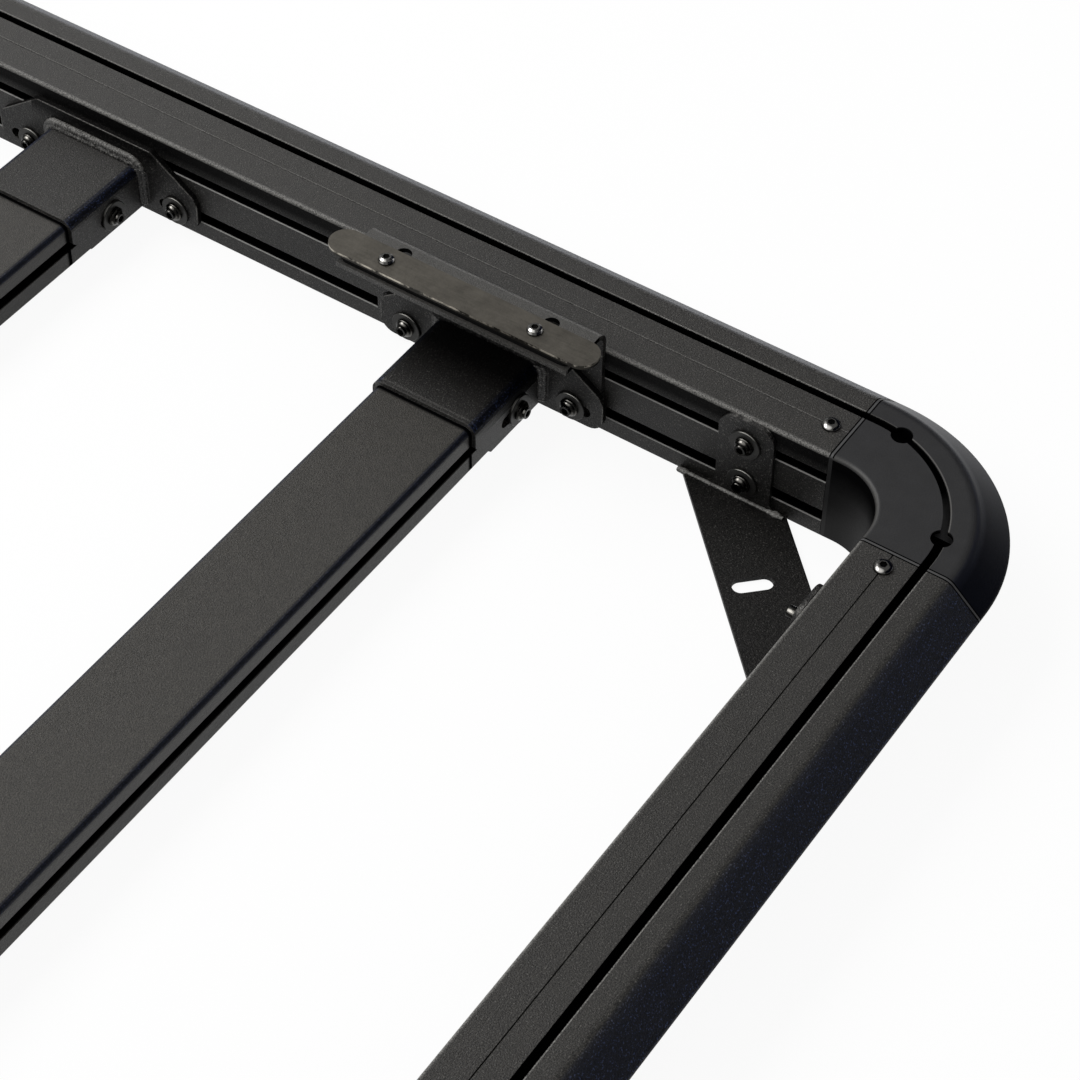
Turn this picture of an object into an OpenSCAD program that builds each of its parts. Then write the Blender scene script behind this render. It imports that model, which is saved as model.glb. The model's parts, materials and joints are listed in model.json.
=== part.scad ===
// Flat platform roof rack, lying deck side down with its mounting feet on top.
// The frame is four hollow extrusions joined by cast corners. Cross slats sit in
// saddles that are bolted to the side rails, and a gusset braces each corner.
// X runs across the rack, Y along the side rails, and Z is 0 on the deck side.

/* [Overall] */
// Width across the side rails, to the points where their noses would meet a square
rack_w = 1300; // [1000:10:1500]
// Distance between the centres of neighbouring slats
slat_pitch = 277; // [190:1:340]
// Distance from an end rail's inner face to the nearest slat's centre
end_bay = 246; // [215:1:320]

/* [Rail] */
// Height of the rail
rail_h = 60; // [54:1:72]
// Width of the flat face, from the inner face to the bevel
rail_flat_w = 50.2; // [48:0.2:62]
// How far the nose stands out past the flat face
nose_out = 19.4; // [10:0.1:26]
// Drop from the flat face to the nose
nose_drop = 17.6; // [10:0.2:24]
// Thickness of the extrusion's walls
rail_wall = 2.5; // [1.8:0.1:3.2]
// Radius of the rail's upper inner edge
rail_edge_r = 2.6; // [1:0.2:4]
// Radius of the rail's edges on the deck side
rail_base_r = 1; // [0.5:0.1:3]
// Radius where the flat face turns into the bevel
bevel_r = 9; // [2:0.5:12]
// Radius of the nose
nose_r = 2.4; // [1:0.2:4]
// Distance from the inner face to the scribed line
scribe_u = 19.1; // [16:0.1:24]

/* [Rail slots] */
// Opening of the slot in the flat face
top_slot_w = 4.8; // [4.4:0.1:7]
// Distance from the inner face to the middle of the slot in the flat face
top_slot_u = 35.4; // [34:0.2:40]
// Width of the chamber under the slot in the flat face
top_chamber_w = 11; // [9:0.5:13]
// Depth of the chamber under the slot in the flat face
top_chamber_d = 6; // [4:0.5:8]
// Opening of the upper slot in the inner face
upper_slot_w = 6.2; // [5:0.1:8]
// Opening of the lower slot in the inner face
lower_slot_w = 7.3; // [6:0.1:9]
// Distance from the flat face to the middle of the upper slot
upper_slot_drop = 17; // [13:0.2:18]
// Distance from the flat face to the middle of the lower slot
lower_slot_drop = 44.9; // [40:0.1:46]
// Width of the chambers behind the inner slots
side_chamber_w = 13; // [10:0.5:15]
// Depth of the chambers behind the inner slots
side_chamber_d = 6.5; // [4:0.5:8]

/* [Corner] */
// Radius of the corner's inner face
corner_inner_r = 34.2; // [20:0.2:60]
// Straight part of the corner beyond its bend
corner_lead = 4.8; // [2:0.2:12]
// Thickness of the gasket between a corner and a rail
gasket_t = 2.3; // [1:0.1:4]
// Opening of the curved slot between the two entry holes
arc_slot_w = 3.8; // [3:0.1:5]
// Diameter of the entry holes for bolt heads
entry_hole_d = 11.6; // [9:0.1:13]
// Angle from each end of the bend to its entry hole
entry_angle = 13.5; // [12:0.5:20]
// Length of the tenon inside the rail
tenon_l = 30; // [20:1:45]
// Gap between a tenon and the rail's walls
tenon_gap = 0.3; // [0.1:0.05:0.5]
// Distance from the rail's end to the screw that holds the tenon
screw_inset = 10; // [8:0.5:16]
// Diameter of the screw holes
screw_hole_d = 5.2; // [4:0.1:6]

/* [Slat] */
// Width of a slat
slat_w = 61; // [50:1:66]
// Thickness of a slat
slat_h = 30.5; // [26:0.5:36]
// Height of a slat's lower face above the deck side of the rails
slat_z = 3.5; // [0:0.5:8]
// Radius of a slat's upper edges
slat_edge_r = 4; // [2:0.5:6]
// Thickness of a slat's walls
slat_wall = 2; // [1.5:0.1:3]
// Opening of the slots in a slat's sides
slat_slot_w = 7.4; // [6:0.1:9]
// Height of the chambers behind those slots
slat_chamber_w = 13; // [10:0.5:15]
// Depth of the chambers behind those slots
slat_chamber_d = 6; // [4:0.5:8]
// Gap between a slat's end and the end plate
slat_end_gap = 1.5; // [0.5:0.1:4]

/* [End bracket] */
// Thickness of the end plate
plate_t = 3.5; // [3:0.5:6]
// Width of the end plate
plate_w = 146; // [142:1:160]
// Width of the end plate's upper edge
plate_top_w = 84; // [78:1:100]
// Height of the end plate's lower edge above the deck side of the rails
plate_z = 5; // [3:0.5:8]
// Distance from the rail's flat face to the end plate's upper edge
plate_top_drop = 10.3; // [6:0.1:12]
// Height of the sloping upper corners of the end plate
plate_slope_h = 22; // [14:0.5:26]
// Radius of the end plate's lower corners
plate_corner_r = 9; // [3:0.5:10]
// Radius where the end plate's slopes meet its sides
plate_side_r = 10; // [3:0.5:12]
// Distance from the end plate's side to its bolt
plate_bolt_margin = 17.7; // [17:0.1:19]
// Length of the bolt slots
bolt_slot_l = 20; // [14:1:26]
// Width of the bolt slots
bolt_slot_w = 7.4; // [6.6:0.1:9]
// Thickness of the saddle's sheet
saddle_t = 2.6; // [2:0.1:4]
// Length of the saddle
saddle_l = 61; // [46:0.2:80]
// Gap between the saddle's sides and the slat
saddle_gap = 0.3; // [0.1:0.05:0.6]
// How far above the slat's lower face the saddle's sides end
saddle_lift = 4; // [1:0.5:6]
// Distance from the end plate to the middle of the saddle's bolt slots
saddle_slot_u = 27; // [22:0.5:32]
// Size of the cut lower corner of the saddle's sides
saddle_cut = 14; // [8:0.5:14]
// Leg on the saddle of the weld between saddle and end plate
weld_leg = 2.8; // [2:0.1:4]
// Leg of that weld on the end plate
weld_rise = 5; // [2:0.1:6]

/* [Corner gusset] */
// Thickness of the gusset's sheet
gusset_t = 2.6; // [2:0.1:4]
// Distance from the inner corner to the near end of the gusset on the rail
gusset_near = 62; // [52:1:70]
// Distance from the inner corner to the far end of the gusset on the rail
gusset_far = 127; // [116:1:140]
// Distance from the inner corner to the middle of a gusset tab
tab_mid = 88; // [87:1:96]
// Width of a gusset tab
tab_w = 33.2; // [28:0.2:38]
// Radius of a gusset tab's upper corners
tab_corner_r = 10; // [4:0.5:12]
// Radius of the hollow corners where a gusset tab leaves the sheet
tab_root_r = 7; // [4:0.5:8]
// Distance from the rail's flat face to the top of a gusset tab
tab_top_drop = 1.2; // [0.5:0.1:5]
// Length of the slotted hole in a gusset
gusset_slot_l = 22; // [14:0.5:26]
// Width of the slotted hole in a gusset
gusset_slot_w = 9.4; // [7:0.1:11]
// Distance from each rail to the middle of the slotted hole
gusset_slot_d = 51.2; // [44:0.1:54]

/* [Foot] */
// Thickness of the foot bracket's sheet
foot_t = 3; // [2:0.1:4]
// Length of the foot bracket along the rail
foot_l = 147; // [135:1:160]
// How far the foot bracket is moved from the slat's middle, away from the rack's end
foot_shift = 4; // [0:0.5:6]
// How far the foot bracket's flange reaches in from the rail
foot_reach = 38; // [38:0.2:44]
// Height of the flange's upper face above the rail's flat face
foot_rise = 14.6; // [8:0.2:24]
// Inner radius of the foot bracket's bend
foot_bend_r = 5; // [2:0.5:8]
// Diameter of the spare holes in the flange
foot_hole_d = 9; // [6:0.5:11]
// Distance from the rail to the spare holes
foot_hole_u = 12.4; // [11.5:0.1:14]
// Distance between the two screws of a foot, and between its spare holes
foot_screw_gap = 94.6; // [80:0.2:110]
// Length of the clamp bar
bar_l = 169.4; // [150:0.2:185]
// Width of the clamp bar
bar_w = 19.4; // [16:0.2:22]
// Thickness of the clamp bar
bar_t = 2.6; // [2:0.1:4]
// Distance from the rail to the middle of the clamp bar
bar_u = 28; // [26:0.1:30]
// How far the clamp bar is moved on its bracket, towards the rack's end
bar_shift = 1.5; // [0:0.1:8]
// Thickness of the rubber pad under the clamp bar
pad_t = 4.4; // [2:0.2:8]
// Width of the rubber pad
pad_w = 16; // [12:0.5:18]
// Diameter of the heads of the foot's screws
foot_head_d = 9; // [8:0.1:10.5]
// Height of the heads of the foot's screws
foot_head_h = 2.8; // [2:0.1:3.5]
// Width of the key sockets in those heads, across their corners
foot_key_d = 4; // [3:0.1:5]

/* [Hidden] */
$fn = 48;

slat_count = 5;
arc_steps = 6;
cut = 1;

// Frame sizes that follow from the driving ones
rail_w = rail_flat_w + nose_out;
inner_half_w = rack_w / 2 - rail_w;
inner_half_l = end_bay + (slat_count - 1) * slat_pitch / 2;
side_rail_l = 2 * (inner_half_l - corner_inner_r - corner_lead - gasket_t);
end_rail_l = 2 * (inner_half_w - corner_inner_r - corner_lead - gasket_t);

// Places across the rail's section, from its inner face and its deck side
upper_slot_z = rail_h - upper_slot_drop;
lower_slot_z = rail_h - lower_slot_drop;
inner_cell_u = 2 * rail_wall + side_chamber_d;
web_u = top_slot_u + top_chamber_w / 2 + rail_wall;
cell_top_z = rail_h - 2 * rail_wall - top_chamber_d;
top_chamber_u = top_slot_u - top_chamber_w / 2 - rail_wall;
nose_point = [rail_w, rail_h - nose_drop];
scribe_w = 0.9;
scribe_depth = 0.6;

// Sizes of the slats and what holds them
slat_top_z = slat_z + slat_h;
slat_slot_z = slat_z + slat_h / 2;
slat_l = 2 * (inner_half_w - plate_t - foot_t - slat_end_gap);
saddle_w = slat_w + 2 * (saddle_gap + saddle_t);
saddle_outer_r = slat_edge_r + saddle_gap + saddle_t;
saddle_z = slat_top_z + saddle_t;
saddle_low_z = slat_z + saddle_lift;
weld_low_z = saddle_low_z + weld_leg;
plate_top_r = 3;
plate_top_z = rail_h - plate_top_drop;
plate_bolt_gap = plate_w - 2 * plate_bolt_margin;

// Heights of the foot's layers
flange_z = rail_h + foot_rise;
bar_z = flange_z + pad_t;
foot_leg_z = slat_z + 2;

function unit(v) = v / norm(v);
function half_angle(a, b, c) = acos(unit(a - b) * unit(c - b)) / 2;

// Centre of a circle of radius r that touches both edges at corner b
function corner_centre(a, b, c, r) =
    b + unit(unit(a - b) + unit(c - b)) * r / sin(half_angle(a, b, c));

// Turn from one direction to another, between -180 and 180 degrees
function turn(from, to) =
    let (d = to - from)
    d > 180 ? d - 360 : d < -180 ? d + 360 : d;

// Points of the arc that rounds corner b with radius r
function corner_arc(a, b, c, r) =
    let (
        centre = corner_centre(a, b, c, r),
        reach = r / tan(half_angle(a, b, c)),
        first = b + unit(a - b) * reach - centre,
        last = b + unit(c - b) * reach - centre,
        start = atan2(first.y, first.x),
        sweep = turn(start, atan2(last.y, last.x))
    )
    [for (i = [0:arc_steps])
        centre + r * [cos(start + sweep * i / arc_steps), sin(start + sweep * i / arc_steps)]];

// Outline with corner i rounded to radii[i]
function rounded(points, radii) =
    let (n = len(points))
    [for (i = [0:n - 1])
        each radii[i] == 0
            ? [points[i]]
            : corner_arc(points[(i + n - 1) % n], points[i], points[(i + 1) % n], radii[i])];

// Convex outline moved inwards by t
function inset(points, t) =
    let (n = len(points))
    [for (i = [0:n - 1])
        corner_centre(points[(i + n - 1) % n], points[i], points[(i + 1) % n], t)];

// Rectangle from its low corner and its size
function box_points(low, size) =
    [low, low + [size.x, 0], low + size, low + [0, size.y]];

// Outer outline of the rail, with the inner face at 0
function rail_outline() =
    rounded(
        [[0, 0], [rail_flat_w, 0], nose_point, [rail_flat_w, rail_h], [0, rail_h]],
        [rail_base_r, rail_base_r, nose_r, bevel_r, rail_edge_r]
    );

// Slot that opens at y = 0 and widens into a chamber below a lip
module t_slot_shape(opening, lip, chamber_w, chamber_d) {
    translate([-opening / 2, -lip - cut / 2])
        square([opening, lip + cut]);
    translate([-chamber_w / 2, -lip - chamber_d])
        square([chamber_w, chamber_d]);
}

module top_slot_shape(opening = top_slot_w) {
    translate([top_slot_u, rail_h])
        t_slot_shape(opening, rail_wall, top_chamber_w, top_chamber_d);
}

module side_slot_shape(z, opening) {
    translate([0, z])
        rotate(90)
            t_slot_shape(opening, rail_wall, side_chamber_w, side_chamber_d);
}

// Hollow that the corner's tenon fills
function tenon_cell() =
    box_points([inner_cell_u, rail_wall], [web_u - inner_cell_u, cell_top_z - rail_wall]);

module rail_cells() {
    polygon(tenon_cell());
    translate([inner_cell_u, rail_wall])
        square([top_chamber_u - inner_cell_u, rail_h - 2 * rail_wall]);
    polygon(inset([
        [web_u, 0], [rail_flat_w, 0], nose_point, [rail_flat_w, rail_h], [web_u, rail_h]
    ], rail_wall));
}

module scribe_shape() {
    translate([scribe_u, rail_h])
        polygon([[-scribe_w / 2, cut / 8], [0, -scribe_depth], [scribe_w / 2, cut / 8]]);
}

module rail_section() {
    difference() {
        polygon(rail_outline());
        top_slot_shape();
        side_slot_shape(upper_slot_z, upper_slot_w);
        side_slot_shape(lower_slot_z, lower_slot_w);
        rail_cells();
        scribe_shape();
    }
}

// Stands a section upright and draws it along Y, centred, with its first axis towards +X
module along_y(length) {
    translate([0, length / 2, 0])
        rotate([90, 0, 0])
            linear_extrude(length)
                children();
}

// Rail of a given length, centred on Y, with its inner face at X = 0
module rail(length) {
    difference() {
        along_y(length)
            rail_section();
        for (side = [-1, 1])
            translate([scribe_u, side * (length / 2 - screw_inset), rail_h - 2 * rail_wall])
                cylinder(d = screw_hole_d, h = 3 * rail_wall);
    }
}

// Places a child drawn on the right side at either side, right = 1 and left = -1
module at_side(side) {
    mirror([side > 0 ? 0 : 1, 0, 0])
        translate([inner_half_w, 0, 0])
            children();
}

// Places a child drawn for the front right corner at any corner
module at_corner(side, end) {
    mirror([side > 0 ? 0 : 1, 0, 0])
        mirror([0, end > 0 ? 1 : 0, 0])
            translate([inner_half_w, -inner_half_l, 0])
                children();
}

module side_rail(side) {
    color("#2e2d2c")
        at_side(side)
            rail(side_rail_l);
}

module end_rail(end) {
    color("#2e2d2c")
        rotate([0, 0, end * 90])
            translate([inner_half_l, 0, 0])
                rail(end_rail_l);
}

// Corner section swept round the bend, from the side rail to the end rail
module bend_sweep(angle = 90, from = -90) {
    rotate([0, 0, from])
        rotate_extrude(angle = angle, $fn = 96)
            translate([corner_inner_r, 0])
                children();
}

// Section drawn straight on from both ends of the bend, from one offset to another
module bend_leads(from, to) {
    translate([corner_inner_r, (from + to) / 2, 0])
        along_y(to - from)
            children();
    rotate([0, 0, -90])
        translate([corner_inner_r, -(from + to) / 2, 0])
            along_y(to - from)
                children();
}

// The corner is drawn about the centre of its bend
module bend_frame() {
    translate([-corner_inner_r, corner_inner_r, 0])
        children();
}

module corner(side, end) {
    color("#262626")
        at_corner(side, end)
            bend_frame()
                difference() {
                    union() {
                        bend_sweep()
                            polygon(rail_outline());
                        bend_leads(-cut / 10, corner_lead)
                            polygon(rail_outline());
                        bend_leads(corner_lead - cut / 10, corner_lead + gasket_t + tenon_l)
                            polygon(inset(tenon_cell(), tenon_gap));
                    }
                    corner_slot();
                    for (a = [entry_angle, 90 - entry_angle])
                        rotate([0, 0, -a])
                            translate([corner_inner_r + top_slot_u, 0, cell_top_z + rail_wall])
                                cylinder(d = entry_hole_d, h = rail_h);
                }
}

// Slot in the corner's flat face: as wide as the rail's at both ends, narrower between the holes
module corner_slot() {
    bend_sweep(90 - 2 * entry_angle, entry_angle - 90)
        top_slot_shape(arc_slot_w);
    for (from = [-90, -entry_angle])
        bend_sweep(entry_angle, from)
            top_slot_shape();
    bend_leads(-cut / 10, corner_lead + cut)
        top_slot_shape();
}

module gaskets(side, end) {
    color("#1c1c1c")
        at_corner(side, end)
            bend_frame()
                bend_leads(corner_lead, corner_lead + gasket_t)
                    difference() {
                        polygon(rail_outline());
                        polygon(tenon_cell());
                        top_slot_shape();
                    }
}

// Section of a slat, centred on its width
module slat_section() {
    cell_z = slat_chamber_w / 2 + slat_wall;
    cell_half_w = slat_w / 2 - 2 * slat_wall - slat_chamber_d;
    difference() {
        polygon(rounded(
            box_points([-slat_w / 2, -slat_h / 2], [slat_w, slat_h]),
            [slat_edge_r / 2, slat_edge_r / 2, slat_edge_r, slat_edge_r]
        ));
        for (side = [-90, 90])
            rotate(side)
                translate([0, slat_w / 2])
                    t_slot_shape(slat_slot_w, slat_wall, slat_chamber_w, slat_chamber_d);
        square([2 * cell_half_w, slat_h - 2 * slat_wall], center = true);
        for (z = [-slat_h / 2 + slat_wall, cell_z])
            translate([-slat_w / 2 + 2 * slat_wall, z])
                square([slat_w - 4 * slat_wall, slat_h / 2 - slat_wall - cell_z]);
    }
}

function slat_y(i) = -inner_half_l + end_bay + (i - 1) * slat_pitch;

module slat(i) {
    color("#343332")
        translate([0, slat_y(i), slat_slot_z])
            rotate([0, 0, 90])
                along_y(slat_l)
                    slat_section();
}

// Slotted hole through a sheet that lies in the XY plane, long way along X
module slotted_hole(length, width, depth) {
    for (side = [-1, 1])
        translate([side * (length - width) / 2, 0, -cut])
            cylinder(d = width, h = depth + 2 * cut);
    translate([-(length - width) / 2, -width / 2, -cut])
        cube([length - width, width, depth + 2 * cut]);
}

// End plate standing on the rail's inner face, drawn along Y and Z
module end_plate() {
    slope_z = plate_top_z - plate_slope_h;
    rotate([90, 0, -90])
        difference() {
            linear_extrude(plate_t)
                polygon(rounded(
                    [[-plate_w / 2, plate_z], [plate_w / 2, plate_z], [plate_w / 2, slope_z],
                     [plate_top_w / 2, plate_top_z], [-plate_top_w / 2, plate_top_z],
                     [-plate_w / 2, slope_z]],
                    [plate_corner_r, plate_corner_r, plate_side_r, plate_top_r, plate_top_r, plate_side_r]
                ));
            for (side = [-1, 1])
                translate([side * plate_bolt_gap / 2, lower_slot_z, 0])
                    slotted_hole(bolt_slot_l, bolt_slot_w, plate_t);
        }
}

// Saddle over the slat, drawn from the end plate's face at X = 0 towards -X
module saddle() {
    difference() {
        translate([-saddle_l, 0, 0])
            rotate([90, 0, 90])
                linear_extrude(saddle_l)
                    difference() {
                        polygon(rounded(
                            box_points(
                                [-saddle_w / 2, saddle_low_z],
                                [saddle_w, saddle_z - saddle_low_z]
                            ),
                            [0, 0, saddle_outer_r, saddle_outer_r]
                        ));
                        polygon(rounded(
                            box_points(
                                [-slat_w / 2 - saddle_gap, slat_z - cut],
                                [slat_w + 2 * saddle_gap, slat_h + cut]
                            ),
                            [0, 0, slat_edge_r, slat_edge_r]
                        ));
                    }
        for (side = [-1, 1])
            translate([-saddle_slot_u, side * (slat_w / 2 + saddle_t), slat_slot_z])
                rotate([90, 0, 0])
                    translate([0, 0, -saddle_t])
                        slotted_hole(bolt_slot_l, bolt_slot_w, 2 * saddle_t);
        translate([-saddle_l, saddle_w / 2 + cut, saddle_low_z])
            rotate([90, 0, 0])
                linear_extrude(saddle_w + 2 * cut)
                    polygon([[-cut, -cut], [saddle_cut, -cut], [saddle_cut, 0],
                             [0, saddle_cut], [-cut, saddle_cut]]);
    }
}

// Weld round the outside of the saddle where it meets the end plate
module weld() {
    half = saddle_w / 2 - saddle_outer_r;
    profile = [[-cut / 2, -cut / 2], [weld_leg, -cut / 2], [weld_leg, 0],
               [weld_leg * 0.6, weld_rise * 0.6], [0, weld_rise], [-cut / 2, weld_rise]];
    translate([0, half, saddle_z])
        rotate([90, 0, 0])
            linear_extrude(2 * half)
                mirror([1, 0])
                    polygon(profile);
    for (side = [-1, 1])
        mirror([0, side > 0 ? 0 : 1, 0])
            translate([0, half, saddle_z - saddle_outer_r]) {
                translate([0, saddle_outer_r, weld_low_z - saddle_z + saddle_outer_r])
                    linear_extrude(saddle_z - saddle_outer_r - weld_low_z)
                        mirror([1, 0])
                            polygon(profile);
                rotate([0, -90, 0])
                    rotate_extrude(angle = 90)
                        translate([saddle_outer_r, 0])
                            polygon([for (p = profile) [p.y, p.x]]);
            }
}

// Distance that an end plate stands off the rail: the foot's leg lies behind the outer ones
function stand_off(i) = i == 1 || i == slat_count ? foot_t : 0;

module bracket(i, side) {
    color("#2a2a29")
        at_side(side)
            translate([-stand_off(i), slat_y(i), 0]) {
                end_plate();
                translate([-plate_t, 0, 0]) {
                    saddle();
                    weld();
                }
            }
}

// Gusset tab on the side rail's inner face, with holes for a bolt in each inner slot
module gusset_tab() {
    tab_h = rail_h - tab_top_drop;
    foot = tab_w / 2 + tab_root_r + cut / 2;
    rotate([90, 0, -90])
        difference() {
            linear_extrude(gusset_t)
                polygon(rounded(
                    [[-foot, 0], [foot, 0], [foot, gusset_t], [tab_w / 2, gusset_t],
                     [tab_w / 2, tab_h], [-tab_w / 2, tab_h], [-tab_w / 2, gusset_t],
                     [-foot, gusset_t]],
                    [0, 0, 0, tab_root_r, tab_corner_r, tab_corner_r, tab_root_r, 0]
                ));
            for (z = [lower_slot_z, upper_slot_z])
                translate([0, z, -cut])
                    cylinder(d = bolt_slot_w, h = gusset_t + 2 * cut);
        }
}

module gusset(side, end) {
    color("#262627")
        at_corner(side, end) {
            difference() {
                linear_extrude(gusset_t)
                    polygon([[0, gusset_near], [0, gusset_far], [-gusset_far, 0], [-gusset_near, 0]]);
                translate([-gusset_slot_d, gusset_slot_d, 0])
                    rotate([0, 0, -45])
                        slotted_hole(gusset_slot_l, gusset_slot_w, gusset_t);
            }
            translate([0, tab_mid, 0])
                gusset_tab();
            mirror([1, 1, 0])
                translate([0, tab_mid, 0])
                    gusset_tab();
        }
}

// Places a child drawn at the outer slat's end on the right side
module at_foot(side, end) {
    mirror([side > 0 ? 0 : 1, 0, 0])
        mirror([0, end > 0 ? 1 : 0, 0])
            translate([inner_half_w, slat_y(1) + foot_shift, 0])
                children();
}

module foot_bracket(side, end) {
    bend_outer_r = foot_bend_r + foot_t;
    color("#2a2a29")
        at_foot(side, end)
            difference() {
                along_y(foot_l)
                    polygon(concat(
                        [[0, foot_leg_z]],
                        corner_arc([0, foot_leg_z], [0, flange_z], [-foot_reach, flange_z], bend_outer_r),
                        [[-foot_reach, flange_z], [-foot_reach, flange_z - foot_t]],
                        corner_arc(
                            [-foot_reach, flange_z - foot_t], [-foot_t, flange_z - foot_t],
                            [-foot_t, foot_leg_z], foot_bend_r
                        ),
                        [[-foot_t, foot_leg_z]]
                    ));
                for (y = [-foot_screw_gap / 2, foot_screw_gap / 2]) {
                    translate([-foot_hole_u, y, flange_z - 2 * foot_t])
                        cylinder(d = foot_hole_d, h = 3 * foot_t);
                    translate([-bar_u, y, flange_z - 2 * foot_t])
                        cylinder(d = screw_hole_d, h = 3 * foot_t);
                }
                for (y = [-plate_bolt_gap / 2, plate_bolt_gap / 2])
                    translate([cut, y - foot_shift, lower_slot_z])
                        rotate([0, -90, 0])
                            cylinder(d = bolt_slot_w, h = foot_t + 2 * cut);
            }
}

module foot_pad(side, end) {
    color("#141414")
        at_foot(side, end)
            translate([-bar_u, 0, flange_z])
                difference() {
                    linear_extrude(pad_t)
                        polygon(rounded(
                            box_points([-pad_w / 2, -foot_l / 2], [pad_w, foot_l]),
                            [pad_w / 3, pad_w / 3, pad_w / 3, pad_w / 3]
                        ));
                    for (y = [-foot_screw_gap / 2, foot_screw_gap / 2])
                        translate([0, y, -cut])
                            cylinder(d = screw_hole_d, h = pad_t + 2 * cut);
                }
}

// Button head of a foot's screw, standing at z = 0, with a socket for a hex key
module foot_screw_head() {
    difference() {
        rotate_extrude()
            polygon([
                [0, -cut / 10], [foot_head_d / 2, -cut / 10], [foot_head_d / 2, foot_head_h / 4],
                [foot_head_d * 0.42, foot_head_h * 0.7], [foot_head_d * 0.3, foot_head_h],
                [0, foot_head_h]
            ]);
        translate([0, 0, foot_head_h / 3])
            linear_extrude(foot_head_h)
                polygon([for (a = [0:60:300]) foot_key_d / 2 * [cos(a), sin(a)]]);
    }
}

// Clamp bar with the heads of its two screws
module foot_bar(side, end) {
    half = (bar_l - bar_w) / 2;
    color("#6e6b66")
        at_foot(side, end)
            translate([-bar_u, 0, bar_z]) {
                translate([0, -bar_shift, 0]) {
                    translate([-bar_w / 2, -half, 0])
                        cube([bar_w, 2 * half, bar_t]);
                    for (y = [-half, half])
                        translate([0, y, 0])
                            cylinder(d = bar_w, h = bar_t);
                }
                for (y = [-foot_screw_gap / 2, foot_screw_gap / 2])
                    translate([0, y, bar_t])
                        foot_screw_head();
            }
}

side_rail(-1);  // side_rail_left
side_rail(1);  // side_rail_right
end_rail(-1);  // front_rail
end_rail(1);  // rear_rail
corner(1, -1);  // corner_front_right
corner(-1, -1);  // corner_front_left
corner(1, 1);  // corner_rear_right
corner(-1, 1);  // corner_rear_left
gaskets(1, -1);  // gaskets_front_right
gaskets(-1, -1);  // gaskets_front_left
gaskets(1, 1);  // gaskets_rear_right
gaskets(-1, 1);  // gaskets_rear_left
slat(1);  // slat_1
slat(2);  // slat_2
slat(3);  // slat_3
slat(4);  // slat_4
slat(5);  // slat_5
bracket(1, 1);  // bracket_1_right
bracket(2, 1);  // bracket_2_right
bracket(3, 1);  // bracket_3_right
bracket(4, 1);  // bracket_4_right
bracket(5, 1);  // bracket_5_right
bracket(1, -1);  // bracket_1_left
bracket(2, -1);  // bracket_2_left
bracket(3, -1);  // bracket_3_left
bracket(4, -1);  // bracket_4_left
bracket(5, -1);  // bracket_5_left
gusset(1, -1);  // gusset_front_right
gusset(-1, -1);  // gusset_front_left
gusset(1, 1);  // gusset_rear_right
gusset(-1, 1);  // gusset_rear_left
foot_bracket(1, -1);  // foot_bracket_front_right
foot_bracket(-1, -1);  // foot_bracket_front_left
foot_bracket(1, 1);  // foot_bracket_rear_right
foot_bracket(-1, 1);  // foot_bracket_rear_left
foot_pad(1, -1);  // foot_pad_front_right
foot_pad(-1, -1);  // foot_pad_front_left
foot_pad(1, 1);  // foot_pad_rear_right
foot_pad(-1, 1);  // foot_pad_rear_left
foot_bar(1, -1);  // foot_bar_front_right
foot_bar(-1, -1);  // foot_bar_front_left
foot_bar(1, 1);  // foot_bar_rear_right
foot_bar(-1, 1);  // foot_bar_rear_left
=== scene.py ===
"""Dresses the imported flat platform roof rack: finishes, fasteners, weld beads and stage."""

import json
import math

import bmesh
import bpy
from bpy.props import FloatProperty, FloatVectorProperty, PointerProperty
from mathutils import Matrix, Vector, noise


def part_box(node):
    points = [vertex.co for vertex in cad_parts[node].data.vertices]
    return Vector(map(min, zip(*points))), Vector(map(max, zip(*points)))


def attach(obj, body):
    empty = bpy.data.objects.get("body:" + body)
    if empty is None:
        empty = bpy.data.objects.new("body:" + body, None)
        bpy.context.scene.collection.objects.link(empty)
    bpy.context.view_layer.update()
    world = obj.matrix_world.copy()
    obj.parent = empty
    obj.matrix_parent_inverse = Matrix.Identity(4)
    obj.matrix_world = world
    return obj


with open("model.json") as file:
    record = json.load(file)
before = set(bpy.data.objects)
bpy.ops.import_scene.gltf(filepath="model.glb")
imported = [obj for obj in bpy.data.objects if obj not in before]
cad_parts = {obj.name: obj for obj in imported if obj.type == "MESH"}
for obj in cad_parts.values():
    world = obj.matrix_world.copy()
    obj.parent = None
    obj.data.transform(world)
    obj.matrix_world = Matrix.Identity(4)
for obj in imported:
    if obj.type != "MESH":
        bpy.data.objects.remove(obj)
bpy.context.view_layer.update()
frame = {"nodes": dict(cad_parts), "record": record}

bl_info = {
    "name": "Platform Roof Rack",
    "version": (1, 0, 0),
    "blender": (4, 5, 0),
    "location": "View3D > Sidebar > Roof Rack",
    "description": "Finishes, fasteners, weld beads and a studio for a flat platform roof rack",
    "category": "Object",
}

MM = 0.001
SIDES = {"right": 1, "left": -1}
ENDS = {"front": -1, "rear": 1}
SLATS = (1, 2, 3, 4, 5)
OUTER_SLATS = (1, 5)

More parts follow.
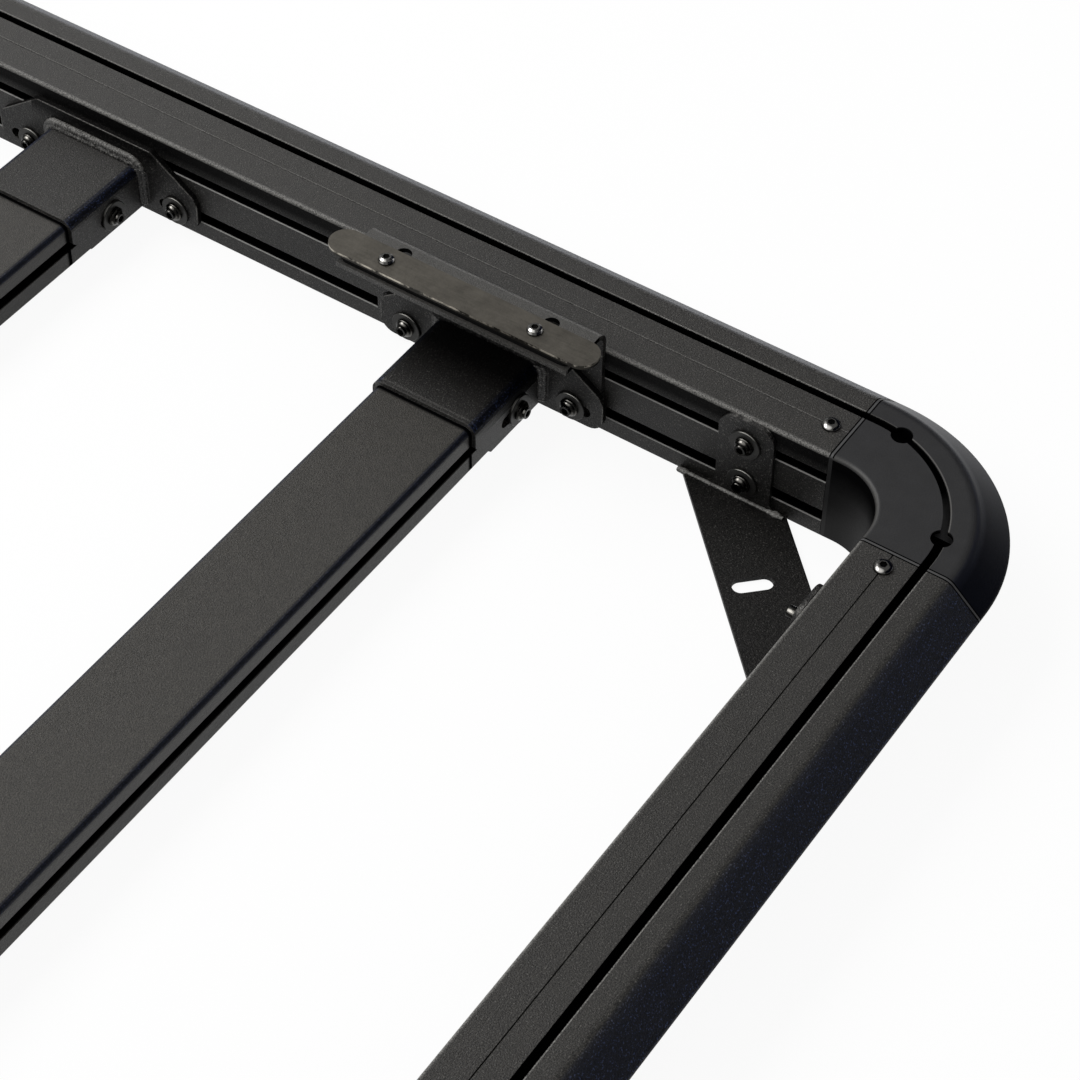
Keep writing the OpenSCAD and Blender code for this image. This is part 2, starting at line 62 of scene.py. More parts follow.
# Places read from the frame, in metres
RAIL_LOW, RAIL_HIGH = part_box("side_rail_right")
INNER_X = RAIL_LOW.x
INNER_Y = -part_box("front_rail")[1].y
RAIL_H = RAIL_HIGH.z
SIDE_RAIL_END = RAIL_HIGH.y
END_RAIL_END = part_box("front_rail")[1].x
SLAT_Y = {i: sum(corner.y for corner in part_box(f"slat_{i}")) / 2 for i in SLATS}
SLAT_LOW, SLAT_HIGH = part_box("slat_2")
SLAT_HALF_W = SLAT_HIGH.y - SLAT_Y[2]
SLAT_MID_Z = (SLAT_LOW.z + SLAT_HIGH.z) / 2
SADDLE_END_X = {i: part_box(f"bracket_{i}_right")[0].x for i in (1, 2)}
BAR_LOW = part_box("foot_bar_front_right")[0]
FLANGE_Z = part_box("foot_bracket_front_right")[1].z

# Sizes that part.scad gives, in metres
UPPER_SLOT_Z = 43.0 * MM
LOWER_SLOT_Z = 15.1 * MM
TOP_SLOT_U = 35.4 * MM
TOP_SLOT_W = 4.8 * MM
TOP_SLOT_DEPTH = 9.5 * MM
PLATE_T = 3.5 * MM
PLATE_BOLT_GAP = 110.6 * MM
SADDLE_SLOT_U = 27.0 * MM
WELD_LOW_Z = 10.3 * MM
SADDLE_T = 2.6 * MM
SADDLE_GAP = 0.3 * MM
SADDLE_HALF_W = SLAT_HALF_W + SADDLE_GAP + SADDLE_T
SADDLE_R = 6.9 * MM
GUSSET_T = 2.6 * MM
GUSSET_NEAR = 62.0 * MM
GUSSET_FAR = 127.0 * MM
TAB_MID = 88.0 * MM
SCRIBE_U = 19.1 * MM
BEND_R = 34.2 * MM
RAIL_EDGE_R = 2.6 * MM
GASKET_T = 2.3 * MM
SLAT_PITCH = 277.0 * MM
PLATE_TOP_Z = 49.7 * MM
PLATE_HALF_W = 73.0 * MM
SCREW_INSET = 10.0 * MM
FOOT_T = 3.0 * MM
FOOT_SCREW_GAP = 94.6 * MM
FOOT_U = 28.0 * MM
BAR_T = 2.6 * MM
FOOT_SHIFT = 4.0 * MM

# Where the finishes change, in metres
TOP_SKIN = 0.45 * MM
FACE_SKIN = 0.4 * MM
BEVEL_U = (50 * MM, 54 * MM)
LINE_W = 0.5 * MM
OUTER_ROW_Y = SLAT_Y[5] - SLAT_PITCH / 2

# Colours and directions that the finishes share: white, the dead black of painted shade, colours
# of painted highlights, glints and cool light, and the direction toward the key light where
# highlights are painted
WHITE = (1.0, 1.0, 1.0)
DEAD_BLACK = (0.0012, 0.0012, 0.0014)
PAINTED_HIGHLIGHT = (0.17, 0.165, 0.155)
PAINTED_GLINT = (0.30, 0.29, 0.27)
PAINTED_LIP_HIGHLIGHT = (0.60, 0.59, 0.57)
PAINTED_EDGE_HIGHLIGHT = (0.36, 0.355, 0.34)
FLANGE_TOP_HIGHLIGHT = (0.060, 0.058, 0.054)
PAINTED_COOL_LIGHT = (0.60, 0.88, 2.2)
TOWARD_KEY = (-0.64, 0.02, 0.77)


class Wire:
    """A shader socket. Expressions on wires and numbers add their Math nodes."""

    def __init__(self, tree, socket):
        self.tree = tree
        self.socket = socket

    def maths(self, operation, *terms):
        node = self.tree.nodes.new("ShaderNodeMath")
        node.operation = operation
        for slot, term in zip(node.inputs, terms):
            plug(self.tree, slot, term)
        return Wire(self.tree, node.outputs[0])

    def __add__(self, other):
        return self.maths("ADD", self, other)

    def __sub__(self, other):
        return self.maths("SUBTRACT", self, other)

    def __rsub__(self, other):
        return self.maths("SUBTRACT", other, self)

    def __mul__(self, other):
        return self.maths("MULTIPLY", self, other)

    def __truediv__(self, other):
        return self.maths("DIVIDE", self, other)

    def __abs__(self):
        return self.maths("ABSOLUTE", self)

    def __gt__(self, other):
        return self.maths("GREATER_THAN", self, other)

    def __lt__(self, other):
        return self.maths("LESS_THAN", self, other)

    def __or__(self, other):
        return self.maths("MAXIMUM", self, other)

    def __and__(self, other):
        return self.maths("MINIMUM", self, other)

    __radd__ = __add__
    __rmul__ = __mul__
    __ror__ = __or__


def plug(tree, slot, value):
    """Links a wire to a socket, or sets the socket to a plain value."""
    if isinstance(value, Wire):
        tree.links.new(value.socket, slot)
    else:
        slot.default_value = value


class Finish:
    """One material, built node by node."""

    def __init__(self, name):
        self.material = bpy.data.materials.get(name) or bpy.data.materials.new(name)
        self.material.use_nodes = True
        self.tree = self.material.node_tree
        self.tree.nodes.clear()

    def add(self, kind, settings=None, sockets=None, output=0):
        """Adds a node, sets its settings, fills its sockets and returns one of its outputs."""
        node = self.tree.nodes.new(f"ShaderNode{kind}")
        for name, value in (settings or {}).items():
            setattr(node, name, value)
        for name, value in (sockets or {}).items():
            plug(self.tree, node.inputs[name], value)
        return Wire(self.tree, node.outputs[output]) if node.outputs else None

    def place(self):
        """Where a point is in the frame, in metres."""
        return self.add("NewGeometry")

    def axes(self, vector):
        """X, Y and Z of a vector."""
        parts = self.add("SeparateXYZ", sockets={0: vector}).socket.node.outputs
        return [Wire(self.tree, part) for part in parts]

    def from_slat(self, y):
        """Distance along Y from the middle of the nearest slat."""
        return y.maths("PINGPONG", y, SLAT_PITCH / 2)

    def speckle(self, scale, detail=2.0, roughness=0.5):
        """Noise whose grains are about 1/scale metres across."""
        return self.add(
            "TexNoise", sockets={"Vector": self.place(), "Scale": scale, "Detail": detail,
                                 "Roughness": roughness})

    def ramp(self, factor, low, high):
        """0 below low, 1 above high, straight between."""
        return self.add("MapRange", sockets={0: factor, 1: low, 2: high, 3: 0.0, 4: 1.0})

    def blend(self, factor, first, second):
        """Colour that goes from the first to the second."""
        return self.add(
            "Mix", {"data_type": "RGBA"}, {0: factor, 6: first, 7: second}, output=2)

    def multiply(self, first, second):
        """Product of two colours."""
        return self.add(
            "Mix", {"data_type": "RGBA", "blend_type": "MULTIPLY"}, {0: 1.0, 6: first, 7: second},
            output=2)

    def normal(self):
        """Direction a surface faces, in the frame."""
        return self.add("NewGeometry", output=1)

    def facing(self, direction, low, high):
        """0 where the surface faces away from the direction, 1 where it faces it."""
        along = self.add(
            "VectorMath", {"operation": "DOT_PRODUCT"},
            {0: self.normal(), 1: Vector(direction).normalized()}, output=1)
        return self.ramp(along, low, high)

    def section(self):
        """Distance out from the rack's inner edge and height. It follows the corners' bends."""
        x, y, z = self.axes(self.place())
        dx = (abs(x) - (INNER_X - BEND_R)) | 0.0
        dy = (abs(y) - (INNER_Y - BEND_R)) | 0.0
        reach = dx * dx + dy * dy
        return reach.maths("SQRT", reach) - BEND_R, z

    def beside(self):
        """1 along the side rails, 0 along the end rails and corners."""
        y = self.axes(self.place())[1]
        return abs(y) < INNER_Y - BEND_R

    def from_gasket(self):
        """Distance from the middle of the nearest gasket strip."""
        x, y, _ = self.axes(self.place())
        along_side = abs(abs(y) - (SIDE_RAIL_END + GASKET_T / 2))
        along_end = abs(abs(x) - (END_RAIL_END + GASKET_T / 2))
        on_side = self.beside()
        return along_side * on_side + along_end * (1 - on_side)

    def shade(self, black=None, **sockets):
        """Ends the material in a Principled shader, painted dead black as shade where the mask
        says so.
        """
        names = {name.replace("_", " "): value for name, value in sockets.items()}
        shader = self.add("BsdfPrincipled", sockets=names)
        if black is not None:
            dead = self.add("BsdfDiffuse", sockets={"Color": rgba(DEAD_BLACK)})
            shader = self.add("MixShader", sockets={0: black, 1: shader, 2: dead})
        self.add("OutputMaterial", sockets={"Surface": shader})
        return self.material


def rgba(color, level=1.0):
    return (*(channel * level for channel in color), 1.0)


def bumped(finish, height, strength, depth):
    """Normal tilted by a height."""
    return finish.add(
        "Bump", sockets={"Strength": strength, "Distance": depth, "Height": height})


def line(finish, distance, width):
    """1 on a line of that width where the distance is 0, with soft edges."""
    return 1 - finish.ramp(abs(distance), width / 2, width)


def powder(finish, color, coat, light):
    """Powder coat: base colour and normal with small grains, some with painted glints; sides
    painted darker than tops as shade, and painted highlights where the light mask says so.
    """
    grain, relief, contrast, glints = coat
    fine = finish.speckle(1.0 / grain, 2.0, 0.65)
    soft = finish.speckle(1.0 / (9 * grain), 2.0)
    # Painted glints on single grains
    dots = finish.ramp(finish.speckle(0.85 / grain, 1.0), 0.60, 0.72)
    # Sides painted darker than tops: painted shade
    up = finish.ramp(finish.axes(finish.normal())[2], 0.78, 0.97)
    level = finish.blend(up, rgba(color, 0.32), rgba(color))
    clouds = finish.blend(finish.ramp(soft, 0.3, 0.7), rgba(WHITE, 0.9), rgba(WHITE, 1.1))
    # Painted highlights where the light mask says so
    tone = finish.blend(light, finish.multiply(level, clouds), rgba(PAINTED_HIGHLIGHT))
    grains = finish.blend(
        finish.ramp(fine, 0.32, 0.68), rgba(WHITE, 1 - contrast), rgba(WHITE, 1 + contrast))
    tone = finish.blend(dots * glints, finish.multiply(tone, grains), rgba(PAINTED_GLINT))
    return tone, bumped(finish, fine, relief, 0.6 * grain)


# Grain size, relief, contrast and share of painted glints of each coat
RAIL_COAT = (0.75 * MM, 1.0, 0.95, 0.22)
SLAT_COAT = (0.72 * MM, 0.9, 0.70, 0.10)
CASTING_COAT = (0.8 * MM, 0.20, 0.16, 0.0)
SHEET_COAT = (0.78 * MM, 1.0, 0.95, 0.25)
WELD_COAT = (0.75 * MM, 1.0, 0.85, 0.60)

# Gloss of the rails, slats and castings
COAT_GLOSS = {"Roughness": 0.40, "Specular_IOR_Level": 0.25}


def seam_shade(finish, face_level):
    """Painted shade in the seams: dark lines on both sides of each gasket strip, fainter on the
    inner faces.
    """
    distance = finish.from_gasket()
    on_face = finish.section()[0] < FACE_SKIN
    lines = finish.ramp(distance, 0.52 * MM, 0.68 * MM) * (
        1 - finish.ramp(distance, 1.3 * MM, 1.5 * MM))
    return lines * (1 - on_face * (1 - face_level))


def perimeter_shade(finish, u, z, face_levels, low, bevel_level):
    """Painted shade: darkens the inner faces, most under the ridge, and the bevels at the two
    ends.
    """
    face = (u < FACE_SKIN) * (z < RAIL_H - 2.2 * MM)
    under_ridge = finish.ramp(z, low, 52 * MM) * face_levels[1] | face_levels[0]
    across = abs(finish.axes(finish.normal())[1]) * 1.3 & 1.0
    return face * under_ridge | finish.ramp(u, 51 * MM, 56 * MM) * across * bevel_level


def tint_cool_light(finish, tone, mask):
    """A bluer tone where the mask says so: painted cool light, as on faces turned to the front.
    """
    return finish.multiply(tone, finish.blend(mask, rgba(WHITE), rgba(PAINTED_COOL_LIGHT)))


def rounding(finish):
    """1 on the rounded edges between a top and the sides that face the two ends."""
    _, across, up = finish.axes(finish.normal())
    return finish.ramp(up, 0.2, 0.45) * (1 - finish.ramp(up, 0.86, 0.97)) * (abs(across) > 0.25)


def inner_ridge(finish, u, z, core, fade):
    """1 along the ridge between the flat top and the inner face."""
    return (1 - finish.ramp(abs(u - (RAIL_H - z)), core, fade)) * (
        u < RAIL_EDGE_R) * (z > RAIL_H - RAIL_EDGE_R)


def rail_finish(colors):
    """Powder coat of the rails, with painted shade in their slots and painted highlights on the
    slots' thin edges, the inner ridge and beside the scribed line.
    """
    finish = Finish("rail_coat")
    u, z = finish.section()
    near_top = z > RAIL_H - TOP_SKIN
    face = u < FACE_SKIN
    far_edge_highlight = line(finish, u - (TOP_SLOT_U + TOP_SLOT_W / 2 + 0.25 * MM), LINE_W) * near_top
    lip_highlights = line(finish, z - (UPPER_SLOT_Z - 3.4 * MM), LINE_W) | line(
        finish, z - (LOWER_SLOT_Z - 3.95 * MM), LINE_W)
    ridge = inner_ridge(finish, u, z, 0.6 * MM, 2.3 * MM)
    scribe_highlight = line(finish, u - (SCRIBE_U + 0.45 * MM), 0.35 * MM) * near_top * finish.beside()
    # Painted highlights on the top slot's far edge, on the inner ridge and beside the scribed
    # line
    light = far_edge_highlight * 0.8 | ridge * 0.75 | scribe_highlight * 0.5
    # Painted shade in the top slot and in the inner slots' chambers
    depth = finish.ramp(RAIL_H - z, 0.5 * MM, 0.9 * MM)
    top_slot_shade = (abs(u - TOP_SLOT_U) < 5.8 * MM) * depth * (z > RAIL_H - TOP_SLOT_DEPTH)
    inner = finish.ramp(u, FACE_SKIN, 0.8 * MM) * (u < 9.3 * MM)
    chamber_w = 13.2 * MM
    side_slot_shade = (line(finish, z - UPPER_SLOT_Z, chamber_w) | line(
        finish, z - LOWER_SLOT_Z, chamber_w)) * inner
    shade = perimeter_shade(finish, u, z, (0.14, 0.85), 41 * MM, 0.42)
    bevel = finish.ramp(u, *BEVEL_U)
    tone, normal = powder(finish, colors.rail, RAIL_COAT, light)
    # Painted highlights on the lips of the inner slots
    tone = finish.blend(lip_highlights * face * 0.6, tone, rgba(PAINTED_LIP_HIGHLIGHT))
    return finish.shade(
        black=top_slot_shade | side_slot_shade | shade | seam_shade(finish, 1.0),
        Base_Color=tint_cool_light(finish, tone, bevel), Normal=normal, **COAT_GLOSS)


def slat_finish(colors):
    """Powder coat of the slats, with painted shade in their slots and on their rounded edges, and
    a painted contact shadow where the saddles begin.
    """
    finish = Finish("slat_coat")
    x, y, z = finish.axes(finish.place())
    across = finish.from_slat(y)
    depth = SLAT_HALF_W - across
    # Painted shade in the side slots
    slot = finish.ramp(depth, 0.5 * MM, 0.9 * MM) * (depth < 8.6 * MM) * (
        abs(z - SLAT_MID_Z) < 6.7 * MM)
    row_split = SLAT_Y[5] - 60 * MM
    # Painted contact shadow on the slat beside each saddle's end
    contact_shadow = 0
    for i, end_x in SADDLE_END_X.items():
        on_row = abs(y) > row_split if i in OUTER_SLATS else abs(y) < row_split
        near = finish.ramp(abs(x), end_x - 3.4 * MM, end_x - 1.6 * MM) * (
            abs(x) < end_x + 0.5 * MM)
        contact_shadow = near * on_row | contact_shadow
    # Painted highlight along the top of each side wall
    strip = (depth < 0.3 * MM) * (z > SLAT_HIGH.z - 11 * MM) * 0.10
    tone, normal = powder(finish, colors.slat, SLAT_COAT, strip)
    # Painted shade and painted cool light on the rounded edges
    edge = rounding(finish)
    return finish.shade(
        black=slot | contact_shadow | edge * 0.45, Base_Color=tint_cool_light(finish, tone, edge), Normal=normal,
        **COAT_GLOSS)


def casting_finish(colors):
    """Smooth satin coat of the cast corners, with painted shade in their curved slots and painted
    highlights on the slots' far edge and the inner ridge.
    """
    finish = Finish("casting_coat")
    u, z = finish.section()
    x, y, _ = finish.axes(finish.place())
    arc_start = BEND_R - 23 * MM
    in_arc = (abs(x) > INNER_X - arc_start) * (abs(y) > INNER_Y - arc_start)
    deep = ((RAIL_H - z - 0.5 * MM) / (1.2 * MM) | 0.0) & 1.0
    lit = finish.ramp((abs(y) - INNER_Y) - (abs(x) - INNER_X), -2 * MM, 12 * MM) * in_arc
    # Painted shade in the curved slots, less where light reaches their wall
    slot = (abs(u - TOP_SLOT_U) < 6.6 * MM) * deep * (z > RAIL_H - TOP_SLOT_DEPTH) * (
        1 - lit * 0.85)
    far_edge_highlight = line(finish, u - (TOP_SLOT_U + 2.2 * MM), LINE_W) * (z > RAIL_H - TOP_SKIN)
    ridge = inner_ridge(finish, u, z, 0.3 * MM, 2.0 * MM)
    shade = perimeter_shade(finish, u, z, (0.50, 0.95), 16 * MM, 0.74)
    bevel = finish.ramp(u, *BEVEL_U)
    # Painted highlights on the slot's far edge and the inner ridge
    tone, normal = powder(finish, colors.casting, CASTING_COAT, far_edge_highlight * 0.5 | ridge * 0.25)
    return finish.shade(
        black=slot | shade | seam_shade(finish, 0.0), Base_Color=tint_cool_light(finish, tone, bevel),
        Normal=normal, **COAT_GLOSS)


def sheet_finish(colors):
    """Grainy coat of brackets, gussets and feet, with painted highlights on the sheet's cut edges
    and tops, and painted shade under the clamp bars, above the weld beads, in the holes and on
    the gussets, plates and rounded edges.
    """
    finish = Finish("sheet_coat")
    x, y, z = finish.axes(finish.place())
    across = finish.from_slat(y)
    rail_side = abs(x) > INNER_X - 7.5 * MM
    # Distance outside the end plate's outline: top, sloped shoulder and side
    slope = (across - 42 * MM) * 0.579 + (z - PLATE_TOP_Z) * 0.816
    over = (z - PLATE_TOP_Z) | slope | (across - PLATE_HALF_W)
    outer = abs(y) > OUTER_ROW_Y
    # The outer slats' plates stand further in, on the feet's brackets
    front = (abs(x) < INNER_X - 2.9 * MM) * (1 - outer) | (abs(x) < INNER_X - 5.9 * MM) * outer
    edge = (over > -0.5 * MM) * (over < 0.4 * MM) * rail_side * (z > 12 * MM)
    plate_edge_highlight = edge * front * (z < PLATE_TOP_Z + 0.5 * MM)
    saddle_end_highlight = 0
    for end_x in SADDLE_END_X.values():
        saddle_end_highlight = line(finish, abs(x) - end_x, 0.9 * MM) | saddle_end_highlight
    saddle_end_highlight = saddle_end_highlight * (z > SLAT_HIGH.z - 1 * MM)
    flange_edge_highlight = (abs(x) < INNER_X - 37.3 * MM) * (z > FLANGE_Z - 4 * MM)
    flange_top = z > FLANGE_Z - 0.3 * MM
    saddle = across < SADDLE_HALF_W + 0.2 * MM
    inner_saddle_highlight = saddle * (z > SLAT_HIGH.z + 1 * MM) * (1 - outer) * (abs(x) < INNER_X - 6 * MM)
    # Scratches worn into the tops of the gussets' tabs, painted lighter as a patchy highlight
    tab_top = (z > 56.5 * MM) * (z < 59 * MM) * (abs(y) > SLAT_Y[5] + 60 * MM) * finish.ramp(
        finish.speckle(160.0), 0.50, 0.62)
    bend_light = (z > FLANGE_Z - 1.3 * MM) * (z < FLANGE_Z - 0.1 * MM) * (
        abs(x) > INNER_X - 6 * MM) * 0.5
    # Painted highlights on the plates' edges, the saddles' ends, the flanges' edges and tops, the
    # feet's bends, the inner saddles' tops and the tabs' tops
    light = (plate_edge_highlight * 0.6 | saddle_end_highlight * 0.16 | flange_edge_highlight * 0.22 | flange_top * 0.30
             | bend_light | inner_saddle_highlight * 0.05 | tab_top * 0.5)
    # Painted shade: the clamp bars' shadow on the outer saddles, a shadow behind the plates'
    # edges, and shade on the gussets, the plates' faces, the plates above the weld beads, the
    # holes' walls and the rounded edges, which also get painted cool light
    shadow_under_bar = finish.ramp(abs(x), SADDLE_END_X[1] + 2 * MM, SADDLE_END_X[1] + 42 * MM) * (
        z > SLAT_HIGH.z - 8 * MM) * (z < SLAT_HIGH.z + 4 * MM) * outer * saddle
    gusset = (z < GUSSET_T + 0.2 * MM) * (abs(y) > SLAT_Y[5] + 80 * MM) * 0.42
    plate = rail_side * front * (1 - saddle) * (z > 2 * MM) * (z < PLATE_TOP_Z) * 0.22
    shade_over_weld = finish.ramp(z, SLAT_HIGH.z, PLATE_TOP_Z - 3 * MM) * rail_side * (
        z < PLATE_TOP_Z) * (across < 46 * MM) * 0.75
    # Painted shade on the walls of the holes in the feet's flanges
    hole_shade = (z > FLANGE_Z - FOOT_T) * (z < FLANGE_Z - 0.3 * MM) * (across < 78 * MM) * (
        abs(x) > INNER_X - 36 * MM) * (abs(x) < INNER_X - 7 * MM)
    round_edge = rounding(finish) * saddle
    shade = (edge * (1 - front) * 0.7 | shadow_under_bar * 0.85 | gusset | plate | shade_over_weld
             | hole_shade * 0.95 | round_edge * 0.45)
    tone, normal = powder(finish, colors.sheet, SHEET_COAT, light)
    # Painted highlight on the feet's flange tops
    tone = finish.blend(flange_top * 0.7, tone, rgba(FLANGE_TOP_HIGHLIGHT))
    return finish.shade(
        black=shade, Base_Color=tint_cool_light(finish, tone, round_edge), Roughness=0.34,
        Specular_IOR_Level=0.20, Normal=normal)


def weld_finish(colors):
    """The sheet's coat over a weld bead, with a painted highlight on its upper side and painted
    shadow under the feet.
    """
    finish = Finish("weld_coat")
    up = finish.facing((-0.2, 0, 1), 0.35, 0.95)
    y, z = finish.axes(finish.place())[1:]
    # Painted shadow on the beads under the feet
    shadow_under_feet = (abs(y) > OUTER_ROW_Y) * (z > SLAT_HIGH.z + 1.5 * MM)
    # Painted highlight on the upper side
    tone, normal = powder(finish, colors.sheet, WELD_COAT, up * 0.8)
    # Patchy painted highlight on the upper side of the gussets' bend edges
    bend_edge_highlight = finish.ramp(finish.speckle(700.0), 0.42, 0.58) * (z < 8 * MM) * up
    tone = finish.blend(bend_edge_highlight * 0.5, tone, rgba(PAINTED_EDGE_HIGHLIGHT))
    return finish.shade(
        black=shadow_under_feet * 0.8, Base_Color=tone, Roughness=0.36, Specular_IOR_Level=0.35,
        Normal=normal)


def gasket_finish(colors):
    """Gasket strip: a light line between the two dark seam lines of painted shade, with painted
    shade on its sides, in the slot and on its inner face.
    """
    finish = Finish("gasket_rubber")
    rough = finish.speckle(1400.0)
    # Sides painted darker than the top: painted shade
    up = finish.ramp(finish.axes(finish.normal())[2], 0.2, 0.7)
    tone = finish.blend(up, rgba(colors.gasket, 0.25), rgba(colors.gasket))
    u, z = finish.section()
    # Painted shade in the slot and on the inner face
    in_slot = (abs(u - TOP_SLOT_U) < 6 * MM) * (z < RAIL_H - 0.3 * MM)
    face = (u < 0.5 * MM) * (z < RAIL_H - 1.5 * MM)
    return finish.shade(
        black=seam_shade(finish, 0.0) | in_slot | face * 0.5, Base_Color=tone, Roughness=0.5,
        Normal=bumped(finish, rough, 0.2, 0.2 * MM))


def rubber_finish(colors):
    """Matt rubber of the foot pads."""
    finish = Finish("pad_rubber")
    rough = finish.speckle(900.0, 3.0)
    tone = finish.blend(rough, rgba(colors.pad, 0.7), rgba(colors.pad, 1.3))
    return finish.shade(
        Base_Color=tone, Roughness=0.9, Specular_IOR_Level=0.1,
        Normal=bumped(finish, rough, 0.3, 0.2 * MM))


def bar_finish(colors):
    """Bare rolled steel, blotched, with its cut side walls painted darker as shade under a
    painted highlight along their upper part, and stainless screw heads on it with painted
    highlights.
    """
    finish = Finish("bar_steel")
    z = finish.axes(finish.place())[2]
    stretched = finish.add(
        "Mapping", sockets={"Vector": finish.place(), "Scale": (700.0, 90.0, 700.0)})
    streaks = finish.add("TexNoise", sockets={"Vector": stretched, "Scale": 1.0, "Detail": 4.0})
    blotches = finish.speckle(90.0, 5.0, 0.65)
    grains = finish.speckle(900.0, 2.0, 0.6)
    top = BAR_LOW.z + BAR_T
    head = finish.ramp(z, top + 0.05 * MM, top + 0.15 * MM)
    wall = 1 - finish.ramp(z, top - 0.12 * MM, top - 0.02 * MM)
    # Painted highlight along the upper part of the side walls, which are painted darker as shade
    rim = finish.ramp(z, top - 1.5 * MM, top - 1.2 * MM) * finish.ramp(blotches, 0.42, 0.56)
    mottle = finish.ramp(blotches * 0.5 + streaks * 0.3 + grains * 0.2, 0.38, 0.62)
    flat = finish.blend(mottle, rgba(colors.bar, 0.78), rgba(colors.bar, 1.22))
    side = finish.blend(rim, rgba(colors.bar, 0.35), rgba(colors.bar, 7.0))
    body = finish.blend(wall, flat, side)
    # Painted highlights on the screw heads where they face the lights
    highlight_mask = finish.facing(TOWARD_KEY, 0.90, 0.98) | finish.facing((0.3, -0.8, 0.5), 0.90, 0.98)
    screw = finish.blend(highlight_mask, rgba(colors.stainless, 0.16), rgba(colors.stainless, 1.5))
    tone = finish.blend(head, body, screw)
    roughness = (0.42 + streaks * 0.12) * (1 - head) + head * 0.2
    return finish.shade(
        Base_Color=tone, Metallic=1.0, Roughness=roughness,
        Normal=bumped(finish, grains, 0.25, 0.25 * MM))


def steel_finish(name, color, low, high, roughness):
    """Turned fastener steel: dark, with painted highlights where it faces the studio's lights."""
    finish = Finish(name)
    marks = finish.speckle(1800.0, 3.0)
    # Painted highlights where the steel faces the lights
    highlight_mask = finish.facing(TOWARD_KEY, 0.91, 0.985) | finish.facing(
        (0.25, -0.85, 0.45), 0.93, 0.985) | finish.facing((-0.8, -0.5, -0.2), 0.94, 0.99) * 0.4
    tone = finish.blend(highlight_mask, rgba(color, low), rgba(color, high))
    return finish.shade(
        Base_Color=tone, Metallic=1.0, Roughness=roughness,
        Normal=bumped(finish, marks, 0.12, 0.08 * MM))


def washer_finish(colors):
    """Matt dark washer with a painted highlight on its rim where it faces the light."""
    finish = Finish("washer_dark")
    marks = finish.speckle(1500.0, 3.0, 0.6)
    # Painted highlight on the rim
    rim = finish.facing((-0.5, -0.1, 0.85), 0.84, 0.96)
    matt = finish.blend(
        finish.ramp(marks, 0.3, 0.7), rgba(colors.washer, 0.4), rgba(colors.washer, 1.2))
    tone = finish.blend(rim, matt, rgba(colors.washer, 14.0))
    return finish.shade(
        Base_Color=tone, Metallic=0.4, Roughness=0.42, Specular_IOR_Level=0.3,
        Normal=bumped(finish, marks, 0.3, 0.15 * MM))


# Points round a turned piece, and how far the teeth of a bolt's flange stand out
RING = 48
TOOTH = 0.17 * MM


def hex_radius(angle, across_corners):
    """Distance from the middle of a hexagon to its edge at that angle."""
    sector = math.fmod(angle, math.pi / 3) - math.pi / 6
    return across_corners / 2 * math.cos(math.pi / 6) / math.cos(sector)


def stand(origin, axis, turn=0.0):
    """Matrix that puts a piece's foot at origin and points it along axis."""
    upright = Vector(axis).normalized().to_track_quat("Z", "Y").to_matrix().to_4x4()
    return Matrix.Translation(origin) @ upright @ Matrix.Rotation(turn, 4, "Z")


def turned(bm, place, rings, material=0):
    """Closed solid through rings of radius and height. A ring may be "hex" or have "teeth"."""
    loops = []
    for radius, height, *shape in rings:
        loop = []
        for i in range(RING):
            angle = math.tau * i / RING
            reach = radius
            if "hex" in shape:
                reach = hex_radius(angle, radius)
            elif "teeth" in shape:
                reach += TOOTH * (i % 2)
            loop.append(bm.verts.new(
                place @ Vector((reach * math.cos(angle), reach * math.sin(angle), height))))
        loops.append(loop)
    faces = [bm.faces.new(loops[0][::-1]), bm.faces.new(loops[-1])]
    for low, high in zip(loops, loops[1:]):
        for i in range(RING):
            j = (i + 1) % RING
            faces.append(bm.faces.new((low[i], low[j], high[j], high[i])))
    for face in faces:
        face.material_index = material
        face.smooth = True


def swept(bm, rows):
    """Closed solid through rows of points, each row one loop."""
    loops = [[bm.verts.new(point) for point in row] for row in rows]
    faces = [bm.faces.new(loops[0][::-1]), bm.faces.new(loops[-1])]
    count = len(loops[0])
    for low, high in zip(loops, loops[1:]):
        for i in range(count):
            j = (i + 1) % count
            faces.append(bm.faces.new((low[i], low[j], high[j], high[i])))
    for face in faces:
        face.smooth = True


def finish_piece(name, bm, materials, sharp=35.0):
    """Makes the piece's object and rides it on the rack."""
    bmesh.ops.recalc_face_normals(bm, faces=bm.faces)
    mesh = bpy.data.meshes.new(name)
    bm.to_mesh(mesh)
    bm.free()
    mesh.set_sharp_from_angle(angle=math.radians(sharp))
    piece = bpy.data.objects.new(name, mesh)
    bpy.context.scene.collection.objects.link(piece)
    for material in materials:
        mesh.materials.append(bpy.data.materials[material])
    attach(piece, "root")


